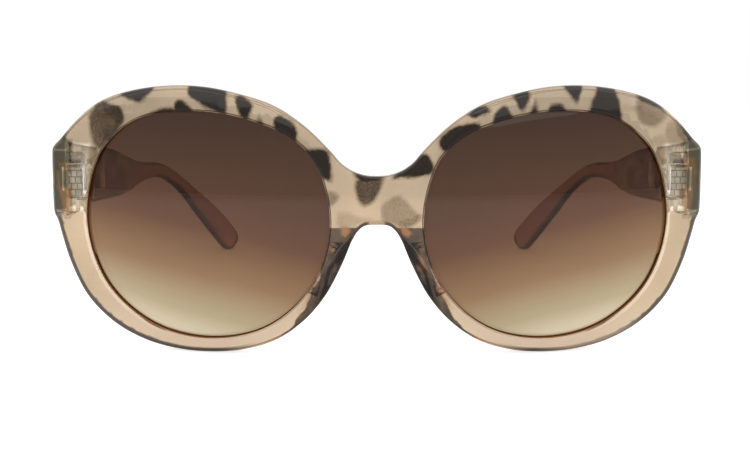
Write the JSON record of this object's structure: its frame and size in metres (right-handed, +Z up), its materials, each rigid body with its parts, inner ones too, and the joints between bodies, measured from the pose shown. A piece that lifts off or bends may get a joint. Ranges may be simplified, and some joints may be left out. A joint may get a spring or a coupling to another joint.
{
  "type": "sunglasses",
  "caption": "Oversized round sunglasses in translucent moulded plastic with a spotted brow, graduated brown lenses and temples that fold on barrel hinges.",
  "frame": {"origin": "under the middle of the open sunglasses' length and width, on the surface on which the rims' bottoms and the temples' tips stand", "axes": "+X towards the wearer's left, +Y from the front back to the temple tips, +Z up"},
  "size_m": [0.147, 0.1402, 0.0591],
  "materials": {
    "frame_plastic": "polished translucent peach plastic with dark printed spots on the brow and bridge",
    "temple_plastic": "polished translucent peach plastic, printed with dark streaks near the hinge",
    "lens_tint": "clear lens plastic, dark brown at the top and fading to pale olive below",
    "hinge_metal": "plated nickel silver"
  },
  "bodies": {
    "front": {"front_frame": "frame_plastic", "lens_right": "lens_tint", "lens_left": "lens_tint", "hinge_front_right": "hinge_metal", "hinge_screw_right": "hinge_metal", "hinge_front_left": "hinge_metal", "hinge_screw_left": "hinge_metal"},
    "right_temple": {"temple_right": "temple_plastic", "hinge_temple_right": "hinge_metal"},
    "left_temple": {"temple_left": "temple_plastic", "hinge_temple_left": "hinge_metal"}
  },
  "joints": [
    {"name": "left_temple_fold", "type": "hinge", "parent": "front", "child": "left_temple", "pos_m": [0.06985, -0.05028, 0.0374], "axis": [0, 0, 1], "range_deg": [0, 85]},
    {"name": "right_temple_fold", "type": "hinge", "parent": "front", "child": "right_temple", "pos_m": [-0.06985, -0.05028, 0.0374], "axis": [0, 0, -1], "range_deg": [0, 80]}
  ]
}
